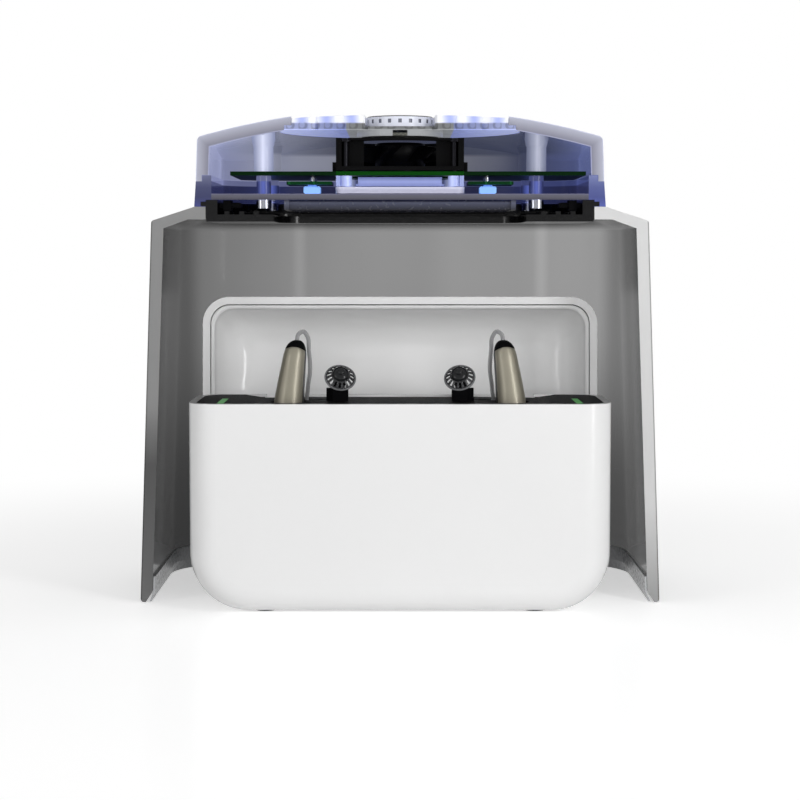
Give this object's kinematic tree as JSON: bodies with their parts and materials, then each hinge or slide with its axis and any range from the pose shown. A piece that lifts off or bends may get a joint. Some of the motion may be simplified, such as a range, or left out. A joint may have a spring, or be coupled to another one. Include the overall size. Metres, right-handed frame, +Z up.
{
  "type": "hearing aid dryer",
  "caption": "Smoked hood with a fan and lamp unit on its roof, shown in section, standing over an open charging case that holds hearing aids to be dried.",
  "frame": {"origin": "middle of the outline, on the table", "axes": "+X to the right as seen from the front, +Y to the back, +Z up"},
  "size_m": [0.15, 0.0934, 0.1398],
  "materials": {
    "smoked_acrylic": "polished, smoke-grey, see-through",
    "clear_silicone": "soft, satin",
    "black_rubber": "soft, satin",
    "black_plastic": "moulded, fine texture",
    "indigo_polycarbonate": "polished, tinted",
    "clear_polycarbonate": "polished, see-through",
    "white_plastic": "glossy white",
    "frosted_plastic": "frosted white",
    "pale_plastic": "satin pale grey",
    "louvre_plastic": "glossy, dark blue-grey",
    "green_board": "solder mask over copper",
    "chip_resin": "moulded epoxy",
    "aluminium_can": "drawn",
    "bright_steel": "plated",
    "copper_winding": "enamelled wire",
    "heater_ceramic": "fired, with foil fins",
    "ultraviolet_lamp": "glowing pale blue",
    "lamp_glass": "clear, blue-lit",
    "green_indicator": "lit green strip",
    "cell_foil": "foil pouch",
    "champagne_paint": "metallic champagne paint",
    "clear_tube": "clear grey tube",
    "grey_silicone": "soft, translucent grey"
  },
  "bodies": {
    "charging_case": {"case_shell": "white_plastic", "case_feet": "black_rubber", "deck": "black_plastic", "receiver_holders": "black_plastic", "left_indicator_strip": "green_indicator", "right_indicator_strip": "green_indicator", "charging_coils": "copper_winding", "case_board": "green_board", "board_pillars": "white_plastic", "case_battery": "cell_foil", "case_port": "bright_steel", "hinge_pins": "bright_steel"},
    "hood": {"hood_shell": "smoked_acrylic", "hood_rim_seal": "clear_silicone", "roof_gasket": "black_rubber", "snap_hooks": "black_plastic", "unit_tray": "indigo_polycarbonate", "unit_cover": "clear_polycarbonate", "vent_disc": "white_plastic", "button_board": "green_board", "snap_dome": "bright_steel", "main_board": "green_board", "board_chips": "chip_resin", "board_capacitors": "aluminium_can", "board_connectors": "white_plastic", "fan_frame": "black_plastic", "fan_stator": "copper_winding", "fan_screws": "bright_steel", "air_duct": "frosted_plastic", "heater": "heater_ceramic", "outlet_plate": "white_plastic", "outlet_guard": "louvre_plastic", "tray_screws": "bright_steel", "power_socket": "bright_steel", "left_lamp_board": "green_board", "right_lamp_board": "green_board", "left_lamp_spacer": "bright_steel", "right_lamp_spacer": "bright_steel", "left_lamp": "ultraviolet_lamp", "right_lamp": "ultraviolet_lamp", "left_lamp_window": "lamp_glass", "right_lamp_window": "lamp_glass"},
    "case_lid": {"case_lid": "white_plastic", "lid_liner": "pale_plastic"},
    "left_aid": {"left_aid_shell": "champagne_paint", "left_aid_cap": "black_plastic", "left_receiver_wire": "clear_tube", "left_receiver": "black_plastic", "left_ear_dome": "grey_silicone"},
    "right_aid": {"right_aid_shell": "champagne_paint", "right_aid_cap": "black_plastic", "right_receiver_wire": "clear_tube", "right_receiver": "black_plastic", "right_ear_dome": "grey_silicone"},
    "power_button": {"power_button": "white_plastic", "button_film": "black_plastic"},
    "fan_rotor": {"fan_rotor": "black_plastic", "fan_shaft": "bright_steel"}
  },
  "joints": [
    {"name": "hood_lift", "type": "slide", "parent": "charging_case", "child": "hood", "axis": [0, 0, 1], "range_m": [0, 0.12]},
    {"name": "lid_hinge", "type": "hinge", "parent": "charging_case", "child": "case_lid", "pos_m": [0, -0.009, 0.0505], "axis": [-1, 0, 0], "range_deg": [-94, 0]},
    {"name": "left_aid_lift", "type": "slide", "parent": "charging_case", "child": "left_aid", "axis": [0, 0, 1], "range_m": [0, 0.025]},
    {"name": "right_aid_lift", "type": "slide", "parent": "charging_case", "child": "right_aid", "axis": [0, 0, 1], "range_m": [0, 0.025]},
    {"name": "button_press", "type": "slide", "parent": "hood", "child": "power_button", "axis": [0, 0, -1], "range_m": [0, 0.0012], "stiffness_N_per_m": 1250, "deforming": ["snap_dome"]},
    {"name": "fan_spin", "type": "hinge", "parent": "hood", "child": "fan_rotor", "pos_m": [0, -0.008, 0.129], "axis": [0, 0, 1], "continuous": true}
  ]
}
